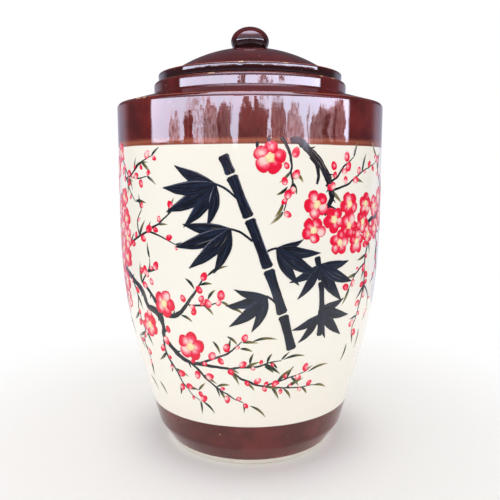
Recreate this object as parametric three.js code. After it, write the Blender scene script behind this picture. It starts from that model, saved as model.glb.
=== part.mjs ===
// Rice storage jar: a wheel-thrown stoneware body with a thick collar, and a loose domed lid.
// The lid stands on the collar's flat top, a ring under it keeps it central in the mouth,
// and its ball knob is a separate piece set into the crown.
// Millimetres, +Z up. Origin: centre of the foot, on the surface that the jar stands on.
import * as THREE from 'three';

// Jar body, outside
const bodyRadius = 130; // straight upper wall
const shoulderHeight = 336.2; // where the straight wall would meet the shoulder
const shoulderSlope = 15.9; // degrees above level
const edgeDrop = 1.9; // below that meeting, where the wall would start to lean in
const edgeLean = 38; // degrees from upright
const edgeRound = 5.5;
const ridgeRound = 1.2; // where the leaning edge meets the shoulder
const innerShoulderRound = 23;
const bellyHeight = 149; // where the straight wall would meet the tapering flank
const bellyRound = 500;
const flankTaper = 15; // degrees from upright
const footFlareHeight = 22; // the flank ends here and the foot turns in
const footFlareRound = 15;
const footRadius = 81.5;
const footEdgeRound = 1.5;

// Foot ring and walls
const footRingWidth = 13;
const footRecess = 5;
const footRecessDraft = 2; // the recess is this much narrower at its ceiling
const wall = 9;
const baseThickness = 12;
const floorRound = 20;

// Collar and mouth
const mouthRadius = 81;
const collarWall = 13.4; // from the mouth out to the collar's side
const collarFootRound = 1.5;
const collarSide = 9.6; // upright side, before it leans in
const collarHeight = 11.4;
const collarRound = 3;
const collarLean = 1.6; // how far the flat top that carries the lid ends inside the side
const mouthEdgeRound = 2;
const mouthUnderRound = 4;

// Lid
const seatGap = 0.3; // between the collar's top and the lid's rim
const rimOverlap = 7.6; // from the mouth out to the rim's lower edge
const rimBulge = 1.5; // how far the rim's side stands out over it
const rimHeight = 10.6; // up to the dome's foot
const rimSlope = 9.5; // degrees above level, of the rim's top
const rimRound = 1.4; // where the side turns over into the top
const rimTread = 13.5; // from the rim's side in to the dome's foot
const domeRise = 24.1; // of the whole cap over the rim, before the knob's flat is cut
const domeFootRound = 2;
const lidWall = 8;
const ringClearance = 2; // between the locating ring and the mouth
const ringWall = 8;
const ringDepth = 13;
const ringEdgeRound = 2.5;

// Knob
const knobRadius = 18.8;
const knobHalfHeight = 14;
const knobSeatRadius = 15.4; // flat on the crown where the knob stands
const knobGap = 0.3;
const socketRadius = 8;
const socketDepth = 3.5;
const tenonClearance = 0.3; // around and below the tenon

// Facets: sides of each round piece, and how far a chord may cut inside its curve
const jarSides = 64;
const knobSides = 48;
const chordError = 0.15;

const tan = (degrees) => Math.tan(THREE.MathUtils.degToRad(degrees));
const cos = (degrees) => Math.cos(THREE.MathUtils.degToRad(degrees));

// A corner of an outline: radius from the axis, height, and the radius it is rounded to
const corner = (r, z, round = 0) => ({ point: new THREE.Vector2(r, z), round });

// Steps that keep an arc within the chord error
function arcSteps(radius, sweep) {
  const step = 2 * Math.acos(Math.max(0, 1 - chordError / radius));
  return Math.max(2, Math.ceil(Math.abs(sweep) / step));
}

// Corners along an ellipse's arc, from one angle to another in radians
function arc(centreR, centreZ, radiusR, radiusZ, from, to) {
  const steps = arcSteps(Math.max(radiusR, radiusZ), to - from);
  return Array.from({ length: steps + 1 }, (_, i) => {
    const angle = from + ((to - from) * i) / steps;
    return corner(centreR + radiusR * Math.cos(angle), centreZ + radiusZ * Math.sin(angle));
  });
}

// How far along its sides each corner's rounding runs, cut back where two roundings would meet
function roundingReaches(corners, halfAngles) {
  const wanted = corners.map(({ round }, i) => (round === 0 ? 0 : round / Math.tan(halfAngles[i])));
  const shares = corners.slice(1).map(({ point }, i) => {
    const side = point.distanceTo(corners[i].point);
    return Math.min(1, side / Math.max(wanted[i] + wanted[i + 1], side));
  });
  return wanted.map((reach, i) => reach * Math.min(shares[i - 1] ?? 1, shares[i] ?? 1));
}

// An outline's points, with every rounded corner replaced by an arc that touches both its sides
function outline(corners) {
  const sideTo = (i, j) => corners[j].point.clone().sub(corners[i].point);
  const halfAngles = corners.map(({ round }, i) =>
    round === 0 ? 0 : sideTo(i, i - 1).angleTo(sideTo(i, i + 1)) / 2,
  );
  const reaches = roundingReaches(corners, halfAngles);
  return corners.flatMap(({ point, round }, i) => {
    if (round === 0) return [point];
    const back = sideTo(i, i - 1).normalize();
    const ahead = sideTo(i, i + 1).normalize();
    const radius = reaches[i] * Math.tan(halfAngles[i]);
    const start = point.clone().addScaledVector(back, reaches[i]);
    const end = point.clone().addScaledVector(ahead, reaches[i]);
    const inward = back.add(ahead).normalize();
    const centre = point.clone().addScaledVector(inward, radius / Math.sin(halfAngles[i]));
    const from = start.sub(centre).angle();
    const turn = end.sub(centre).angle() - from;
    const sweep = Math.atan2(Math.sin(turn), Math.cos(turn));
    return arc(centre.x, centre.y, radius, radius, from, from + sweep).map((c) => c.point);
  });
}

// A solid of revolution about +Z
function turned(name, corners, sides, material) {
  const geometry = new THREE.LatheGeometry(outline(corners), sides);
  geometry.rotateX(Math.PI / 2);
  const mesh = new THREE.Mesh(geometry, new THREE.MeshStandardMaterial(material));
  mesh.name = name;
  return mesh;
}

// Jar body: lines that both its skins follow
const shoulderAt = (r) => shoulderHeight + (bodyRadius - r) * tan(shoulderSlope);
const flankAt = (z) => bodyRadius - (bellyHeight - z) * tan(flankTaper);
const ridgeRadius = bodyRadius - (edgeDrop * tan(edgeLean)) / (1 - tan(edgeLean) * tan(shoulderSlope));
const wallRadius = bodyRadius - wall;
const innerShoulderAt = (r) => shoulderAt(r) - wall / cos(shoulderSlope);
const innerFlankAt = (z) => flankAt(z) - wall / cos(flankTaper);
const innerBellyHeight = bellyHeight + wall * tan(flankTaper / 2);
const floorHeight = footRecess + baseThickness;
const footRingRadius = footRadius - footRingWidth;
const collarRadius = mouthRadius + collarWall;
const seatRadius = collarRadius - collarLean; // outer edge of the flat top
const collarBase = shoulderAt(collarRadius);
const seatHeight = collarBase + collarHeight;

const jarBody = turned(
  'jar_body',
  [
    corner(0, footRecess),
    corner(footRingRadius - footRecessDraft, footRecess, footEdgeRound),
    corner(footRingRadius, 0, footEdgeRound),
    corner(footRadius, 0, footEdgeRound),
    corner(flankAt(footFlareHeight), footFlareHeight, footFlareRound),
    corner(bodyRadius, bellyHeight, bellyRound),
    corner(bodyRadius, shoulderHeight - edgeDrop, edgeRound),
    corner(ridgeRadius, shoulderAt(ridgeRadius), ridgeRound),
    corner(collarRadius, collarBase, collarFootRound),
    corner(collarRadius, collarBase + collarSide, collarRound),
    corner(seatRadius, seatHeight),
    corner(mouthRadius, seatHeight, mouthEdgeRound),
    corner(mouthRadius, innerShoulderAt(mouthRadius), mouthUnderRound),
    corner(wallRadius, innerShoulderAt(wallRadius), innerShoulderRound),
    corner(wallRadius, innerBellyHeight, bellyRound - wall),
    corner(innerFlankAt(floorHeight), floorHeight, floorRound),
    corner(0, floorHeight),
  ],
  jarSides,
  { color: 0xfbf6ea, roughness: 0.15, metalness: 0 },
);

// Lid: rim, dome and locating ring
const rimUnder = seatHeight + seatGap;
const rimTop = rimUnder + rimHeight;
const rimEdgeRadius = mouthRadius + rimOverlap;
const rimRadius = rimEdgeRadius + rimBulge;
const domeRadius = rimRadius - rimTread;
const rimShoulder = rimTop - (rimRadius - domeRadius) * tan(rimSlope);
const rimLip = rimShoulder - rimRound * tan(45 - rimSlope / 2) - rimUnder; // height of the curve under the round
const ringOuter = mouthRadius - ringClearance;
const ringInner = ringOuter - ringWall;
const ringUnder = rimUnder - ringDepth;
const domeSphere = (domeRadius ** 2 + domeRise ** 2) / (2 * domeRise);
const domeCentre = rimTop + domeRise - domeSphere;
const hollowSphere = domeSphere - lidWall;
const knobSeat = domeCentre + Math.sqrt(domeSphere ** 2 - knobSeatRadius ** 2);

const rimSide = arc(rimEdgeRadius, rimUnder + rimLip, rimBulge, rimLip, -Math.PI / 2, 0).slice(0, -1);
const domeSide = arc(
  0,
  domeCentre,
  domeSphere,
  domeSphere,
  Math.acos(domeRadius / domeSphere),
  Math.acos(knobSeatRadius / domeSphere),
);
domeSide[0].round = domeFootRound;
const hollow = arc(0, domeCentre, hollowSphere, hollowSphere, Math.PI / 2, Math.acos(ringInner / hollowSphere));

const lid = turned(
  'lid',
  [
    ...hollow,
    corner(ringInner, ringUnder, ringEdgeRound),
    corner(ringOuter, ringUnder, ringEdgeRound),
    corner(ringOuter, rimUnder),
    ...rimSide,
    corner(rimRadius, rimShoulder, rimRound),
    ...domeSide,
    corner(socketRadius, knobSeat),
    corner(socketRadius, knobSeat - socketDepth),
    corner(0, knobSeat - socketDepth),
  ],
  jarSides,
  { color: 0x5a2623, roughness: 0.12, metalness: 0 },
);

// Knob: an oblate ball on the crown's flat, with a tenon in the crown's socket
const knobUnder = knobSeat + knobGap;
const knobCut = Math.acos(knobSeatRadius / knobRadius);
const knobCentre = knobUnder + knobHalfHeight * Math.sin(knobCut);
const tenonRadius = socketRadius - tenonClearance;
const tenonUnder = knobSeat - socketDepth + tenonClearance;

const lidKnob = turned(
  'lid_knob',
  [
    corner(0, tenonUnder),
    corner(tenonRadius, tenonUnder),
    corner(tenonRadius, knobUnder),
    ...arc(0, knobCentre, knobRadius, knobHalfHeight, -knobCut, Math.PI / 2),
  ],
  knobSides,
  { color: 0x4a1b1a, roughness: 0.12, metalness: 0 },
);

const jar = new THREE.Group();
jar.name = 'rice_storage_jar';
jar.add(jarBody, lid, lidKnob);

export default jar;
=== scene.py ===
import bpy
import bmesh
import math
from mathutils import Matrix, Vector


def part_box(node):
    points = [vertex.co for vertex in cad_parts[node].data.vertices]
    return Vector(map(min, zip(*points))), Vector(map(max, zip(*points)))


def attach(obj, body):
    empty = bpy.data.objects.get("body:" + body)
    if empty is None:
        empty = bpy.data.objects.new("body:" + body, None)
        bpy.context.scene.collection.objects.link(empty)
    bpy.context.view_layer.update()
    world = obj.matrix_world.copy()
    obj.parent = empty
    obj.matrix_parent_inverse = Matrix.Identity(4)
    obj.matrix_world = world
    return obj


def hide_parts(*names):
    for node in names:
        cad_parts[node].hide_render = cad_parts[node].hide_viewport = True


# Rice storage jar: a thrown body with glaze and painted branches, and a loose lid with a ball knob
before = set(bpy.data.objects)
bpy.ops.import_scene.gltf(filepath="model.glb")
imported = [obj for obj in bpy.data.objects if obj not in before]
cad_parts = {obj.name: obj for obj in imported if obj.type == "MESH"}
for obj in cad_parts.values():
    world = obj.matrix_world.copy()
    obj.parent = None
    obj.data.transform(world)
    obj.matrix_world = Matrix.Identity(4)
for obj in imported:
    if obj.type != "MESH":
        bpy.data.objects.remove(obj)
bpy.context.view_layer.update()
mm = 0.001


# Small helpers for node trees
def addNode(tree, kind, inputs=None, **settings):
    node = tree.nodes.new(kind)
    for name, value in settings.items():
        setattr(node, name, value)
    for key, value in (inputs or {}).items():
        if isinstance(value, bpy.types.NodeSocket):
            tree.links.new(value, node.inputs[key])
        else:
            node.inputs[key].default_value = value
    return node


def output(tree, kind, inputs=None, **settings):  # the node's first output
    return addNode(tree, kind, inputs, **settings).outputs[0]


def calc(tree, operation, a, b=0.0):
    return output(tree, "ShaderNodeMath", {0: a, 1: b}, operation=operation)


def times(tree, a, b):
    return calc(tree, "MULTIPLY", a, b)


def plus(tree, a, b):
    return calc(tree, "ADD", a, b)


def minus(tree, a, b):
    return calc(tree, "SUBTRACT", a, b)


def larger(tree, a, b):
    return calc(tree, "MAXIMUM", a, b)


def fade(tree, value, low, high, start=0.0, end=1.0):  # smooth step from start to end
    inputs = {0: value, 1: low, 2: high, 3: start, 4: end}
    return output(tree, "ShaderNodeMapRange", inputs, interpolation_type="SMOOTHSTEP")


def vectorOf(tree, x=0.0, y=0.0, z=0.0):
    return output(tree, "ShaderNodeCombineXYZ", {0: x, 1: y, 2: z})


def partsOf(tree, vector):  # its X, Y and Z
    return addNode(tree, "ShaderNodeSeparateXYZ", {0: vector}).outputs


def vectorCalc(tree, operation, a, b=(0.0, 0.0, 0.0)):
    return output(tree, "ShaderNodeVectorMath", {0: a, 1: b}, operation=operation)


def lengthOf(tree, vector):
    return addNode(tree, "ShaderNodeVectorMath", {0: vector}, operation="LENGTH").outputs["Value"]


def scaled(tree, vector, amount):
    return output(tree, "ShaderNodeVectorMath", {0: vector, "Scale": amount}, operation="SCALE")


def mixColour(tree, factor, a, b):
    return addNode(tree, "ShaderNodeMix", {0: factor, 6: a, 7: b}, data_type="RGBA").outputs[2]


def mixNumber(tree, factor, a, b):
    return output(tree, "ShaderNodeMix", {0: factor, 2: a, 3: b}, data_type="FLOAT")


def noise(tree, vector, scale, detail=2.0, roughness=0.5):
    inputs = {"Vector": vector, "Scale": scale, "Detail": detail, "Roughness": roughness}
    return output(tree, "ShaderNodeTexNoise", inputs)


def sway(tree, vector, amount, scale, detail, roughness=0.5):  # noise to either side of nothing
    return times(tree, minus(tree, noise(tree, vector, scale, detail, roughness), 0.5), amount)


def sideways(tree, vector, amount, scale, detail):  # the same along X and Y
    inputs = {"Vector": vector, "Scale": scale, "Detail": detail}
    cloud = addNode(tree, "ShaderNodeTexNoise", inputs).outputs["Color"]
    centred = vectorCalc(tree, "SUBTRACT", cloud, (0.5, 0.5, 0.5))
    return vectorCalc(tree, "MULTIPLY", centred, vectorOf(tree, amount, amount))


# Small helpers for materials
def paint(red, green, blue):  # a colour as a picture shows it, 0 to 255, for a shader socket
    def linear(value):
        value = value / 255
        return value / 12.92 if value <= 0.04045 else ((value + 0.055) / 1.055) ** 2.4
    return (linear(red), linear(green), linear(blue), 1.0)


def newMaterial(name, roughness, ior):
    material = bpy.data.materials.new(name)
    material.use_nodes = True
    tree = material.node_tree
    shader = tree.nodes["Principled BSDF"]
    shader.inputs["Roughness"].default_value = roughness
    shader.inputs["IOR"].default_value = ior
    return material, tree, shader


def objectPlace(tree):
    return addNode(tree, "ShaderNodeTexCoord").outputs["Object"]


def attributeOf(tree, name, kind="Fac"):
    return addNode(tree, "ShaderNodeAttribute", attribute_name=name).outputs[kind]


def colourShader(tree, shader, colour):
    tree.links.new(colour, shader.inputs["Base Color"])


def bumpFrom(tree, shader, height, distance):
    bump = output(tree, "ShaderNodeBump", {"Height": height, "Distance": distance, "Strength": 1.0})
    tree.links.new(bump, shader.inputs["Normal"])


# Small helpers for geometry trees
def newTree(name, sockets):
    tree = bpy.data.node_groups.new(name, "GeometryNodeTree")
    tree.interface.new_socket("Geometry", in_out="INPUT", socket_type="NodeSocketGeometry")
    for socketName, socketType in sockets.items():
        tree.interface.new_socket(socketName, in_out="INPUT", socket_type="NodeSocket" + socketType)
    tree.interface.new_socket("Geometry", in_out="OUTPUT", socket_type="NodeSocketGeometry")
    return tree, tree.nodes.new("NodeGroupInput").outputs


def closeTree(tree, geometry, material):
    realized = output(tree, "GeometryNodeRealizeInstances", {"Geometry": geometry})
    smooth = output(tree, "GeometryNodeSetShadeSmooth", {"Geometry": realized})
    finished = output(tree, "GeometryNodeSetMaterial", {"Geometry": smooth, "Material": material})
    addNode(tree, "NodeGroupOutput", {"Geometry": finished})


def positionOf(tree):
    return output(tree, "GeometryNodeInputPosition")


def setPosition(tree, geometry, **move):  # a Position or an Offset
    return output(tree, "GeometryNodeSetPosition", {"Geometry": geometry, **move})


def shapeOf(tree, piece):
    return addNode(tree, "GeometryNodeObjectInfo", {"Object": piece}).outputs["Geometry"]


def circleCurve(tree, sides, radius):
    inputs = {"Resolution": sides, "Radius": radius}
    return output(tree, "GeometryNodeCurvePrimitiveCircle", inputs, mode="RADIUS")


def bowedCurve(tree, lines):  # one smooth curve through each line's points
    curve = output(tree, "GeometryNodeMeshToCurve", {"Mesh": lines})
    return output(tree, "GeometryNodeCurveSplineType", {"Curve": curve}, spline_type="CATMULL_ROM")


def turnedTo(tree, angle):
    return output(tree, "FunctionNodeEulerToRotation", {0: vectorOf(tree, z=angle)})


def placed(tree, points, shape, turn, size, **more):
    scale = vectorOf(tree, size, size, size)
    inputs = {"Points": points, "Instance": shape, "Rotation": turn, "Scale": scale, **more}
    return output(tree, "GeometryNodeInstanceOnPoints", inputs)


def readAttribute(tree, name, kind="FLOAT"):
    return output(tree, "GeometryNodeInputNamedAttribute", {"Name": name}, data_type=kind)


def keepAttribute(tree, geometry, name, value, kind="FLOAT"):
    inputs = {"Geometry": geometry, "Name": name, "Value": value}
    return output(tree, "GeometryNodeStoreNamedAttribute", inputs, data_type=kind, domain="POINT")


def randomBetween(tree, low, high, seed, identity=None):
    inputs = {2: low, 3: high, 8: seed}
    if identity is not None:
        inputs[7] = identity
    return addNode(tree, "FunctionNodeRandomValue", inputs, data_type="FLOAT").outputs[1]


# Small helpers for meshes
def newObject(name, data):
    made = bpy.data.objects.new(name, data)
    bpy.context.scene.collection.objects.link(made)
    return made


def meshFrom(shape, name):
    mesh = bpy.data.meshes.new(name)
    shape.to_mesh(mesh)
    shape.free()
    return mesh


def fillAttribute(mesh, name, kind, values):
    layer = mesh.attributes.new(name, kind, "POINT")
    for item, value in zip(layer.data, values):
        if kind == "FLOAT":
            item.value = value
        else:
            item.vector = value


def polylines(name, lines, attributes):  # each line is a list of (x, y, z, attribute values) in metres
    points = [point for line in lines for point in line]
    edges = []
    start = 0
    for line in lines:
        edges += [(start + i, start + i + 1) for i in range(len(line) - 1)]
        start += len(line)
    mesh = bpy.data.meshes.new(name)
    mesh.from_pydata([point[:3] for point in points], edges, [])
    for column, attributeName in enumerate(attributes, 3):
        fillAttribute(mesh, attributeName, "FLOAT", [point[column] for point in points])
    return newObject(name, mesh)


def bakeTree(carrier, tree, inputs, pieceName):
    modifier = carrier.modifiers.new(tree.name, "NODES")
    modifier.node_group = tree
    for item in tree.interface.items_tree:
        if item.in_out == "INPUT" and item.name in inputs:
            modifier[item.identifier] = inputs[item.name]
    graph = bpy.context.evaluated_depsgraph_get()
    grown = carrier.evaluated_get(graph)
    mesh = bpy.data.meshes.new_from_object(grown, preserve_all_data_layers=True, depsgraph=graph)
    mesh.name = pieceName
    mesh.materials.clear()
    mesh.materials.append(inputs["Material"])
    mesh.polygons.foreach_set("material_index", [0] * len(mesh.polygons))
    carrier.modifiers.remove(modifier)
    bpy.data.objects.remove(carrier)
    return newObject(pieceName, mesh)


def faceOutwards(piece):
    shape = bmesh.new()
    shape.from_mesh(piece.data)
    bmesh.ops.recalc_face_normals(shape, faces=shape.faces[:])
    shape.to_mesh(piece.data)
    shape.free()


# Camera, where the photograph was taken from
cameraSet = {"place": (0.0, -0.600, 0.2767), "lookDown": 7.97, "lens": 42.06}


def placeCamera():
    lens = bpy.data.cameras.new("photoCamera")
    lens.lens = cameraSet["lens"]
    camera = newObject("photoCamera", lens)
    camera.location = cameraSet["place"]
    camera.rotation_euler = (math.radians(90 - cameraSet["lookDown"]), 0, 0)
    bpy.context.scene.camera = camera


placeCamera()
print("camera placed")


# Outlines: corners of (radius, height, rounding, where along the rounding the glaze runs thin,
# 0 for nowhere), in mm
outlineSet = {
    "arcStep": 6.0, "fewestSteps": 3, "longestSpan": 7.0, "edgeRun": 0.5, "shortestFlat": 1.5,
    "shortestRun": 1e-6, "leastReach": 1e-4, "nowhereThin": 99.0,
}


def roundingReaches(corners):  # how far along its sides each rounding runs, cut back where two would meet
    wanted = [0.0]
    for before, here, after in zip(corners, corners[1:], corners[2:]):
        back = Vector(before[:2]) - Vector(here[:2])
        ahead = Vector(after[:2]) - Vector(here[:2])
        wanted.append(here[2] / math.tan(back.angle(ahead) / 2) if here[2] else 0.0)
    wanted.append(0.0)
    sides = [math.dist(here[:2], after[:2]) for here, after in zip(corners, corners[1:])]
    shares = [min(1.0, side / max(wanted[i] + wanted[i + 1], side)) for i, side in enumerate(sides)]
    inner = [wanted[i] * min(shares[i - 1], shares[i]) for i in range(1, len(corners) - 1)]
    return [0.0] + inner + [0.0]


def roundedOutline(corners):
    s = outlineSet
    points = [tuple(corners[0][:2])]
    thinMarks = []
    reaches = roundingReaches(corners)

    def runTo(r, z):  # straight run, with close points at both ends so that the shading stays flat
        lastR, lastZ = points[-1]
        length = math.hypot(r - lastR, z - lastZ)
        if length < s["shortestRun"]:
            return
        marks = set()
        if length > s["shortestFlat"]:
            marks |= {s["edgeRun"] / length, 1 - s["edgeRun"] / length}
        count = math.ceil(length / s["longestSpan"])
        marks |= {i / count for i in range(1, count + 1)}
        for mark in sorted(marks):
            points.append((lastR + (r - lastR) * mark, lastZ + (z - lastZ) * mark))

    for before, here, after, reach in zip(corners, corners[1:], corners[2:], reaches[1:]):
        corner = Vector(here[:2])
        back = Vector(before[:2]) - corner
        ahead = Vector(after[:2]) - corner
        half = back.angle(ahead) / 2
        if reach < s["leastReach"]:
            runTo(*corner)
            continue
        radius = reach * math.tan(half)
        back.normalize()
        ahead.normalize()
        centre = corner + (back + ahead).normalized() * (radius / math.sin(half))
        first = corner + back * reach - centre
        sweep = first.angle_signed(corner + ahead * reach - centre)
        steps = math.ceil(max(math.degrees(abs(sweep)) / s["arcStep"],
                              abs(sweep) * radius / s["longestSpan"], s["fewestSteps"]))
        runTo(*(corner + back * reach))
        if here[3]:
            thinMarks.append(len(points) - 1 + here[3] * steps)
        for i in range(1, steps + 1):
            turn = -sweep * i / steps
            r = centre.x + first.x * math.cos(turn) - first.y * math.sin(turn)
            z = centre.y + first.x * math.sin(turn) + first.y * math.cos(turn)
            points.append((r, z))
    runTo(*corners[-1][:2])
    return measured(points, thinMarks)


def measured(points, thinMarks):  # adds each point's run to the nearest thin edge, where its sign turns
    runs = [0.0]
    for here, after in zip(points, points[1:]):
        runs.append(runs[-1] + math.dist(here, after))
    thinRuns = []
    for mark in thinMarks:
        low = int(mark)
        thinRuns.append(runs[low] + (runs[low + 1] - runs[low]) * (mark - low))

    def toThin(run):
        side = 1 if sum(run > place for place in thinRuns) % 2 else -1
        return side * min((abs(run - place) for place in thinRuns), default=outlineSet["nowhereThin"])

    return [(r, z, toThin(run)) for (r, z), run in zip(points, runs)]


def arcCorners(centreR, centreZ, radiusR, radiusZ, fromDegrees, toDegrees, steps):
    angles = [math.radians(fromDegrees + (toDegrees - fromDegrees) * i / steps) for i in range(steps + 1)]
    return [(centreR + radiusR * math.cos(a), centreZ + radiusZ * math.sin(a), 0, 0) for a in angles]


# The wheel: turns an outline in the XZ plane about the Z axis, with the slight wobble of thrown clay
wheelSet = {"spindle": 1.0 * mm, "weld": 0.005 * mm, "wobbleDetail": 1.0}


def wheelTree():
    tree, given = newTree("pottersWheel", {
        "Sides": "Int", "Spindle": "Float", "Wobble": "Float", "Wobble Scale": "Float",
        "Material": "Material"})
    outline = output(tree, "GeometryNodeMeshToCurve", {"Mesh": given["Geometry"]})
    place = partsOf(tree, positionOf(tree))
    flat = vectorOf(tree, minus(tree, place[0], given["Spindle"]), times(tree, place[2], -1.0))
    laid = setPosition(tree, outline, Position=flat)
    circle = circleCurve(tree, given["Sides"], given["Spindle"])
    turned = output(tree, "GeometryNodeCurveToMesh", {"Curve": circle, "Profile Curve": laid})
    seam = {"Geometry": turned, "Distance": wheelSet["weld"]}
    welded = output(tree, "GeometryNodeMergeByDistance", seam)
    push = sway(tree, positionOf(tree), given["Wobble"], given["Wobble Scale"], wheelSet["wobbleDetail"])
    outward = output(tree, "GeometryNodeInputNormal")
    closeTree(tree, setPosition(tree, welded, Offset=scaled(tree, outward, push)), given["Material"])
    return tree


wheel = wheelTree()


def turnPiece(pieceName, corners, settings, material):
    points = [(r * mm, 0.0, z * mm, toThin) for r, z, toThin in roundedOutline(corners)]
    carrier = polylines(pieceName + "Outline", [points], ["toThinEdge"])
    inputs = {"Sides": settings["sides"], "Spindle": wheelSet["spindle"], "Wobble": settings["wobble"] * mm,
              "Wobble Scale": settings["wobbleScale"], "Material": material}
    piece = bakeTree(carrier, wheel, inputs, pieceName)
    faceOutwards(piece)
    return piece


# Glazes: a noise is (scale per metre, detail, roughness), and a fade is (from, to), with the values
# that it starts and ends at where these are not 0 and 1
glazeFinish = {"roughness": 0.03, "ior": 1.56}
brown = {
    "deep": paint(80, 21, 19), "warm": paint(111, 35, 32), "thin": paint(176, 98, 72),
    # the last colour on the next line is painted shade, laid on the lid's downward faces under the rim and
    # the knob
    "pale": paint(228, 186, 140), "underShade": paint(30, 11, 13),
    "edgeFade": (0.9, 0.27), "fleckReach": (1.53, 0.9),  # mm from a thin edge
    "patches": (210.0, 3.0, 0.6), "patchFade": (0.3, 0.55, 0.45, 1.0),
    "clouds": (34.0, 4.0, 0.6), "cloudFade": (0.35, 0.7),
    "specks": 95.0, "speckSize": (0.09, 0.05), "speckStrength": 0.5,
    "speckGroups": (46.0, 0.0), "speckFade": (0.62, 0.66), "flecks": (85.0, 1.0), "fleckFade": (0.7, 0.73),
    "glossPatches": (60.0, 2.0), "glossFade": (0.3, 0.7, 0.02, 0.05),
}


def thinEdges(tree, place):  # where the glaze runs thin over an edge, and where that edge has lost a fleck
    run = calc(tree, "ABSOLUTE", attributeOf(tree, "toThinEdge"))
    patchy = fade(tree, noise(tree, place, *brown["patches"]), *brown["patchFade"])
    thin = times(tree, fade(tree, run, *brown["edgeFade"]), patchy)
    return thin, fade(tree, run, *brown["fleckReach"])


def brownGlaze(tree, place, thin, flecks):
    cloud = noise(tree, place, *brown["clouds"])
    body = mixColour(tree, fade(tree, cloud, *brown["cloudFade"]), brown["deep"], brown["warm"])
    worn = mixColour(tree, thin, body, brown["thin"])
    cells = addNode(tree, "ShaderNodeTexVoronoi", {"Vector": place, "Scale": brown["specks"]})
    speckSize = fade(tree, cells.outputs["Distance"], *brown["speckSize"])
    speckChance = fade(tree, noise(tree, place, *brown["speckGroups"]), *brown["speckFade"])
    speck = times(tree, times(tree, speckSize, speckChance), brown["speckStrength"])
    fleck = times(tree, flecks, fade(tree, noise(tree, place, *brown["flecks"]), *brown["fleckFade"]))
    return mixColour(tree, larger(tree, speck, fleck), worn, brown["pale"])


def unevenGloss(tree, place):
    return fade(tree, noise(tree, place, *brown["glossPatches"]), *brown["glossFade"])


jarGlazeSet = {
    "topLine": 295.8 * mm, "baseLine": 46.2 * mm, "footLine": 6.2 * mm,
    "lineWander": 1.4 * mm, "lineWaves": (17.0, 3.0), "lineSoft": 0.35 * mm,
    "overlap": 5.0 * mm, "overlapWander": 3.0 * mm, "overlapSoft": 1.3 * mm,  # brown run thin over the ivory
    "overlapWaves": (60.0, 4.0, 0.7), "streakStretch": (9.0, 9.0, 420.0),  # round the girth
    "streaks": (1.0, 3.0, 0.6), "streakFade": (0.3, 0.7, 0.3, 0.75),
    "ivory": paint(252, 249, 241), "ivoryWarm": paint(249, 242, 229),
    "ivoryClouds": (12.0, 4.0, 0.6),
    "clay": paint(238, 232, 220), "clayRoughness": 0.6,
    "ripples": (42.0, 2.0), "rippleStretch": (1.0, 1.0, 3.0), "rippleDepth": 0.02 * mm,
}


def jarGlaze():
    s = jarGlazeSet
    soft = s["lineSoft"]
    material, tree, shader = newMaterial("jarGlaze", **glazeFinish)
    place = objectPlace(tree)
    height = partsOf(tree, place)[2]
    level = plus(tree, height, sway(tree, place, s["lineWander"], *s["lineWaves"]))
    top = fade(tree, level, s["topLine"] - soft, s["topLine"] + soft)
    base = fade(tree, level, s["baseLine"] + soft, s["baseLine"] - soft)
    foot = fade(tree, level, s["footLine"] + soft, s["footLine"] - soft)
    overlapLevel = plus(tree, height, sway(tree, place, s["overlapWander"], *s["overlapWaves"]))
    overlapTop = s["topLine"] + s["overlap"]
    overlap = fade(tree, overlapLevel, overlapTop + s["overlapSoft"], overlapTop - s["overlapSoft"])
    streaks = noise(tree, vectorCalc(tree, "MULTIPLY", place, s["streakStretch"]), *s["streaks"])
    thinStrip = times(tree, times(tree, overlap, top), fade(tree, streaks, *s["streakFade"]))
    edges, flecks = thinEdges(tree, place)
    brownColour = brownGlaze(tree, place, larger(tree, edges, thinStrip), flecks)
    ivory = mixColour(tree, noise(tree, place, *s["ivoryClouds"]), s["ivory"], s["ivoryWarm"])
    outside = minus(tree, 1.0, attributeOf(tree, "inside"))
    glazed = mixColour(tree, times(tree, larger(tree, top, base), outside), ivory, brownColour)
    bare = times(tree, foot, outside)
    colourShader(tree, shader, mixColour(tree, bare, glazed, s["clay"]))
    roughness = plus(tree, unevenGloss(tree, place), times(tree, bare, s["clayRoughness"]))
    tree.links.new(roughness, shader.inputs["Roughness"])
    ripple = noise(tree, vectorCalc(tree, "MULTIPLY", place, s["rippleStretch"]), *s["ripples"])
    bumpFrom(tree, shader, ripple, s["rippleDepth"])
    return material


lidGlazeSet = {
    "underShadeFade": (0.5, -0.15, 0.0, 0.85),  # painted shade, by how far up the surface faces: darker where it faces down
    "ripples": (70.0, 2.0), "rippleDepth": 0.015 * mm,
}


def lidGlaze():
    s = lidGlazeSet
    material, tree, shader = newMaterial("lidGlaze", **glazeFinish)
    place = objectPlace(tree)
    glazed = brownGlaze(tree, place, *thinEdges(tree, place))
    upward = partsOf(tree, addNode(tree, "ShaderNodeNewGeometry").outputs["Normal"])[2]
    underShade = fade(tree, upward, *s["underShadeFade"])  # painted shade under the rim and the knob, where the surface faces down
    colourShader(tree, shader, mixColour(tree, underShade, glazed, brown["underShade"]))
    tree.links.new(unevenGloss(tree, place), shader.inputs["Roughness"])
    bumpFrom(tree, shader, noise(tree, place, *s["ripples"]), s["rippleDepth"])
    return material


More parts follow.
